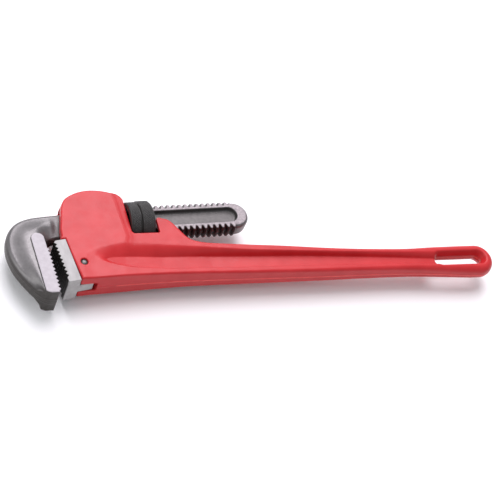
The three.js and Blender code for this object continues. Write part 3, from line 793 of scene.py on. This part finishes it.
class Finish:
    """A procedural material: one or more coats of colour, mixed where the piece is marked."""

    def __init__(self, name, ior):
        self.material = bpy.data.materials.new(name)
        self.material.use_nodes = True
        self.tree = self.material.node_tree
        self.shader = self.tree.nodes["Principled BSDF"]
        self.shader.inputs["IOR"].default_value = ior
        self.place = self.node("ShaderNodeTexCoord").outputs["Object"]
        self.colour = self.roughness = self.metallic = self.height = None

    def node(self, kind, **settings):
        made = self.tree.nodes.new(kind)
        for key, value in settings.items():
            setattr(made, key, value)
        return made

    def link(self, out, into):
        self.tree.links.new(out, into)

    def noise(self, size_mm, detail, stretch=(1, 1, 1)):
        """Noise whose blotches are about that big, stretched along an axis."""
        mapping = self.node("ShaderNodeMapping")
        mapping.inputs["Scale"].default_value = [1 / (size_mm * MM * s) for s in stretch]
        self.link(self.place, mapping.inputs["Vector"])
        made = self.node("ShaderNodeTexNoise")
        made.inputs["Scale"].default_value = 1.0
        made.inputs["Detail"].default_value = detail
        self.link(mapping.outputs["Vector"], made.inputs["Vector"])
        return made.outputs["Fac"]

    def spread(self, value, low, high):
        """A noise value, most of it between 0.3 and 0.7, brought to low..high."""
        made = self.node("ShaderNodeMapRange")
        made.inputs["From Min"].default_value = 0.3
        made.inputs["From Max"].default_value = 0.7
        made.inputs["To Min"].default_value = low
        made.inputs["To Max"].default_value = high
        self.link(value, made.inputs["Value"])
        return made.outputs["Result"]

    def blend(self, factor, a, b, kind="RGBA"):
        """Mixes two colours or two numbers. Each is a value or another node's socket."""
        made = self.node("ShaderNodeMix", data_type=kind)
        sockets = {(s.name, s.type): s for s in made.inputs}
        sort = "RGBA" if kind == "RGBA" else "VALUE"
        self.link(factor, sockets[("Factor", "VALUE")])
        for value, letter in ((a, "A"), (b, "B")):
            socket = sockets[(letter, sort)]
            if isinstance(value, bpy.types.NodeSocket):
                self.link(value, socket)
            else:
                socket.default_value = (*value, 1) if kind == "RGBA" else value
        return next(s for s in made.outputs if s.type == sort)

    def coat_of(self, colours, roughness, metallic=0.0, size=6.0, where=None, stretch=(1, 1, 1)):
        """Adds a coat of two close colours, over all or where the piece is marked."""
        pattern = self.spread(self.noise(size, 4.0, stretch), 0, 1)
        colour = self.blend(pattern, *colours)
        gloss = self.spread(self.noise(size * 0.4, 3.0, stretch), *roughness)
        if where is None:
            self.colour, self.roughness, self.metallic = colour, gloss, metallic
            return
        share = self.node("ShaderNodeAttribute", attribute_name=where).outputs["Fac"]
        self.colour = self.blend(share, self.colour, colour)
        self.roughness = self.blend(share, self.roughness, gloss, "FLOAT")
        if isinstance(self.metallic, bpy.types.NodeSocket) or self.metallic != metallic:
            self.metallic = self.blend(share, self.metallic, metallic, "FLOAT")

    def relief(self, size_mm, depth_mm, detail=2.0):
        """Adds bumps of about that size and depth."""
        bump = self.node("ShaderNodeBump")
        bump.inputs["Distance"].default_value = depth_mm * MM
        bump.inputs["Strength"].default_value = 1.0
        self.link(self.noise(size_mm, detail), bump.inputs["Height"])
        if self.height is not None:
            self.link(self.height, bump.inputs["Normal"])
        self.height = bump.outputs["Normal"]

    def done(self):
        self.link(self.colour, self.shader.inputs["Base Color"])
        self.link(self.roughness, self.shader.inputs["Roughness"])
        if isinstance(self.metallic, bpy.types.NodeSocket):
            self.link(self.metallic, self.shader.inputs["Metallic"])
        else:
            self.shader.inputs["Metallic"].default_value = self.metallic
        self.link(self.height, self.shader.inputs["Normal"])
        return self.material


def red_enamel():
    paint = Finish("red_enamel", ior=1.39)
    paint.coat_of([(0.46, 0.016, 0.019), (0.52, 0.023, 0.027)], (0.30, 0.40), size=14)
    # painted highlight: a lighter red line along the parting line on the handle's side walls
    paint.coat_of([(0.62, 0.040, 0.040), (0.78, 0.080, 0.070)], (0.30, 0.40), size=5, where="seam_highlight")
    paint.relief(9, 0.10)
    paint.relief(1.5, 0.018)
    return paint.done()


def forged_steel():
    steel = Finish("forged_steel", ior=1.5)
    steel.coat_of([(0.15, 0.143, 0.143), (0.18, 0.172, 0.172)], (0.36, 0.44), 0.8, size=3)
    # painted shade: a near-black coat on the hook's side walls and on the neck near the head; the same
    # coat is the darker forged floor of the shank's panel
    wall_shade_and_forged_floor = [(0.034, 0.030, 0.027), (0.048, 0.042, 0.038)]
    steel.coat_of(wall_shade_and_forged_floor, (0.38, 0.5), 0.5, size=3, where="wall_shade_and_forged_floor")
    ground = [(0.22, 0.19, 0.20), (0.40, 0.35, 0.36)]
    steel.coat_of(ground, (0.45, 0.6), 0.1, size=2, where="ground")
    pad = [(0.40, 0.365, 0.39), (0.46, 0.425, 0.45)]
    steel.coat_of(pad, (0.45, 0.6), 0.0, size=3, where="pad")
    # the dark coat of the oily threads, also laid on the hook's teeth and throat as painted shade
    thread = [(0.020, 0.014, 0.013), (0.036, 0.026, 0.025)]
    steel.coat_of(thread, (0.32, 0.45), 0.2, size=2, where="thread")
    steel.relief(3.2, 0.03, 3.0)
    steel.relief(0.9, 0.010)
    return steel.done()


def ground_steel():
    steel = Finish("ground_steel", ior=1.4)
    bright = [(0.34, 0.325, 0.32), (0.44, 0.425, 0.42)]
    steel.coat_of(bright, (0.45, 0.6), 0.0, size=4, stretch=(1, 3, 1))
    # the heel's dark tooth face: unground steel, darkened further as painted shade of the jaws' mouth
    tooth = [(0.022, 0.020, 0.018), (0.045, 0.040, 0.036)]
    steel.coat_of(tooth, (0.4, 0.55), 0.2, size=2, where="tooth")
    steel.relief(1.6, 0.02, 3.0)
    return steel.done()


def black_steel():
    steel = Finish("black_steel", ior=1.45)
    steel.coat_of([(0.016, 0.015, 0.014), (0.030, 0.028, 0.026)], (0.36, 0.5), 0.1, size=2.5)
    steel.relief(0.8, 0.012)
    return steel.done()


def bright_steel(name, colours, roughness):
    steel = Finish(name, ior=1.6)
    steel.coat_of(colours, roughness, 0.8, size=1.6)
    steel.relief(0.7, 0.008)
    return steel.done()


# ---- where each finish lies ----


def mark_casting(piece):
    """The trimmed parting line along the handle's edges, with a painted highlight: a lighter red line on
    its ridge.
    """
    place = local_places(piece)
    # painted highlight: the lighter line on the side walls, close to the middle of the thickness
    seam_highlight = ease(np.abs(place[:, 2]), 0.9, 0.3) * ease(np.abs(facings(piece)[:, 2]), 0.5, 0.3)
    mark(piece, "seam_highlight", seam_highlight * (place[:, 0] > -30) * (place[:, 1] < -20))


def mark_heel(piece):
    """The toothed face, dark as unground steel and as painted shade of the jaws' mouth, but not the
    ground broad sides and ends.
    """
    place = local_places(piece)
    along_seat, up_seat = from_seat(place[:, 0], place[:, 1])
    side = np.abs(place[:, 2]) > JAW_HALF - 0.4
    side |= (up_seat > -1.0) | (up_seat < 0.9 - HEEL_HEIGHT)
    root = HEEL_DEPTH - TOOTH_DEPTH
    mark(piece, "tooth", ease(-along_seat, root - 1.2, root - 0.6) * ~side)


def mark_hook(piece):
    """The ground rim and pads, the dark threads and forged panel floor, and painted shade on teeth,
    throat, walls and neck.
    """
    place, facing_out = local_places(piece), facings(piece)
    x, y = place[:, 0], place[:, 1]
    deep = np.abs(place[:, 2])
    on_shank = x > THREAD_START
    panel = panel_distance(x, y)
    rim = ease(deep, SHANK_HALF - 0.4, SHANK_HALF - 0.2) * ease(panel, 0.1, 0.5)
    mark(piece, "ground", rim * on_shank)
    mark(piece, "pad", ease(deep, HOOK_HALF - 0.6, HOOK_HALF - 0.35))

    threaded = ease(x, THREAD_START - 3, THREAD_START + 3) * ease(SHANK_HALF - deep, 0.1, 0.5)
    threaded = threaded * ease(panel, 1.5, 2.5) * ease(x, 82, 78)
    # painted shade: the teeth and the throat, in the shadow of the jaws' mouth, get the threads' dark
    # coat
    tooth = (np.abs(way_back(x, y)) < TOOTH_DEPTH + 0.8) & (y < HOOK_TOOTH_TOP[1] + 1)
    throat = (y < -7) & (y > -31) & (x > -79.5) & (x < THREAD_START)
    throat &= (facing_out[:, 0] - facing_out[:, 1] > 0.45) & (np.abs(facing_out[:, 2]) < 0.6)
    tooth = tooth * ease(HOOK_HALF - deep, 0.35, 0.6)
    mark(piece, "thread", np.maximum(np.maximum(threaded, throat), tooth))

    # painted shade: faces that turn sideways, and the neck close to the head, get the dark coat; the
    # panel's forged floor gets it as the real darker steel
    walls = ease(np.abs(facing_out[:, 2]), 0.75, 0.3) * (x < THREAD_START)
    painted_neck_shade = ease(x, -74, -64) * (x < THREAD_START)
    floor_of_panel = ease(panel, 0.3, -0.3) * ease(SHANK_HALF - deep, 0.6, 1.4)
    mark(piece, "wall_shade_and_forged_floor", np.maximum(np.maximum(walls, 0.6 * floor_of_panel), 0.4 * painted_neck_shade))


# ---- the wrench ----

STEP_CASTING, STEP_HOOK, STEP_HEEL = 0.5, 0.4, 0.3


def skinned(name, field, low, high, step):
    axes = lattice(low, high, step)
    return skin(name, field(*axes).astype(np.float32), axes)


casting = skinned(
    "handle_frame_casting", frame_field, (-67.4, -72.6, -12.8), (303.8, 27.0, 12.8), STEP_CASTING
)
mark_casting(casting)
put(casting, "handle_frame", "frame", red_enamel())

heel = skinned("heel_jaw_insert", heel_field, (-73, -57, -12.8), (-47.5, -18.3, 12.8), STEP_HEEL)
mark_heel(heel)
put(heel, "heel_jaw", "frame", ground_steel())

hook = skinned("hook_jaw_forging", hook_field, (-107, -65.2, -13), (93.8, 14.2, 13), STEP_HOOK)
mark_hook(hook)
put(hook, "hook_jaw", "hook", forged_steel())

nut = swept("adjusting_nut_knurled", nut_grid())
put(nut, "adjusting_nut", "nut", black_steel())

PIN_STEEL = bright_steel("pin_steel", [(0.10, 0.095, 0.09), (0.17, 0.165, 0.16)], (0.3, 0.42))
pin = swept("heel_jaw_pin_domed", pin_grid(), capped=True)
put(pin, "heel_jaw_pin", "frame", PIN_STEEL)

SPRING_STEEL = bright_steel("spring_steel", [(0.38, 0.38, 0.39), (0.52, 0.52, 0.53)], (0.25, 0.38))
coil = swept("coil_spring_wire", coil_grid(), capped=True)
put(coil, "coil_spring", "float", SPRING_STEEL)
leaf = swept("leaf_spring_strip", leaf_grid(), capped=True)
put(leaf, "leaf_spring", "frame", SPRING_STEEL)

RIVET_STEEL = bright_steel("rivet_steel", [(0.32, 0.31, 0.30), (0.46, 0.45, 0.44)], (0.3, 0.45))
rivet = swept("spring_rivet_round", rivet_grid(), capped=True)
put(rivet, "spring_rivet", "frame", RIVET_STEEL)

# ---- floor, light and camera ----

MIDDLE = (CAD_BOX[0] + CAD_BOX[1]) / 2
FLOOR_SIZE = 4.0
FLOOR_GAP = 0.0002  # below the wrench's underside

# The camera aims at a place given in the wrench's millimetres.
AIM = Vector((83.1, -36.5, 7.9))
VIEW_BACK = Vector((-0.413, -0.505, 0.758))
VIEW_DISTANCE = 1.0207
VIEW_ROLL = math.radians(28.0)
LENS = 93.6


def floor_material():
    paper = Finish("pale_paper", ior=1.3)
    paper.coat_of([(0.93, 0.93, 0.925), (0.95, 0.95, 0.945)], (0.75, 0.85), size=300)
    paper.relief(2, 0.01)
    return paper.done()


edit = bmesh.new()
bmesh.ops.create_grid(edit, x_segments=8, y_segments=8, size=FLOOR_SIZE)
sheet = bpy.data.meshes.new("floor")
edit.to_mesh(sheet)
edit.free()
sheet.materials.append(floor_material())
floor = bpy.data.objects.new("floor", sheet)
floor.location = (0, 0, CAD_BOX[0][2] - FLOOR_GAP)
bpy.context.scene.collection.objects.link(floor)


def facing(place, back, roll=0.0):
    """A pose at a place that looks away from the back direction, with a roll in radians."""
    back = Vector(back).normalized()
    right = Vector((0, 0, 1)).cross(back).normalized()
    up = back.cross(right)
    turned = Matrix((right, up, back)).transposed().to_4x4()
    return Matrix.Translation(place) @ turned @ Matrix.Rotation(roll, 4, "Z")


def softbox(name, direction, distance, size, power, colour=(1, 1, 1)):
    """A large soft lamp that faces the wrench from a direction."""
    lamp = bpy.data.lights.new(name, "AREA")
    lamp.shape = "RECTANGLE"
    lamp.size, lamp.size_y = size
    lamp.energy = power
    lamp.color = colour
    box = bpy.data.objects.new(name, lamp)
    out = Vector(direction).normalized()
    box.matrix_world = facing(MIDDLE + out * distance, out)
    bpy.context.scene.collection.objects.link(box)


softbox("key_softbox", (0.08, 0.52, 0.80), 2.4, (1.9, 2.4), 78, (0.98, 0.94, 1.0))
softbox("left_softbox", (-0.9, 0.1, 0.55), 2.2, (1.2, 1.2), 10)

world = bpy.data.worlds.new("studio")
world.use_nodes = True
world.node_tree.nodes["Background"].inputs["Color"].default_value = (0.93, 0.95, 1.0, 1)
world.node_tree.nodes["Background"].inputs["Strength"].default_value = 0.56
bpy.context.scene.world = world
bpy.context.scene.view_settings.view_transform = "Standard"

camera = bpy.data.objects.new("camera", bpy.data.cameras.new("camera"))
camera.data.sensor_width = 36
camera.data.lens = LENS
camera.data.clip_end = 20
eye = ORIGIN + AIM * MM + VIEW_BACK.normalized() * VIEW_DISTANCE
camera.matrix_world = facing(eye, VIEW_BACK, VIEW_ROLL)
bpy.context.scene.collection.objects.link(camera)
bpy.context.scene.camera = camera
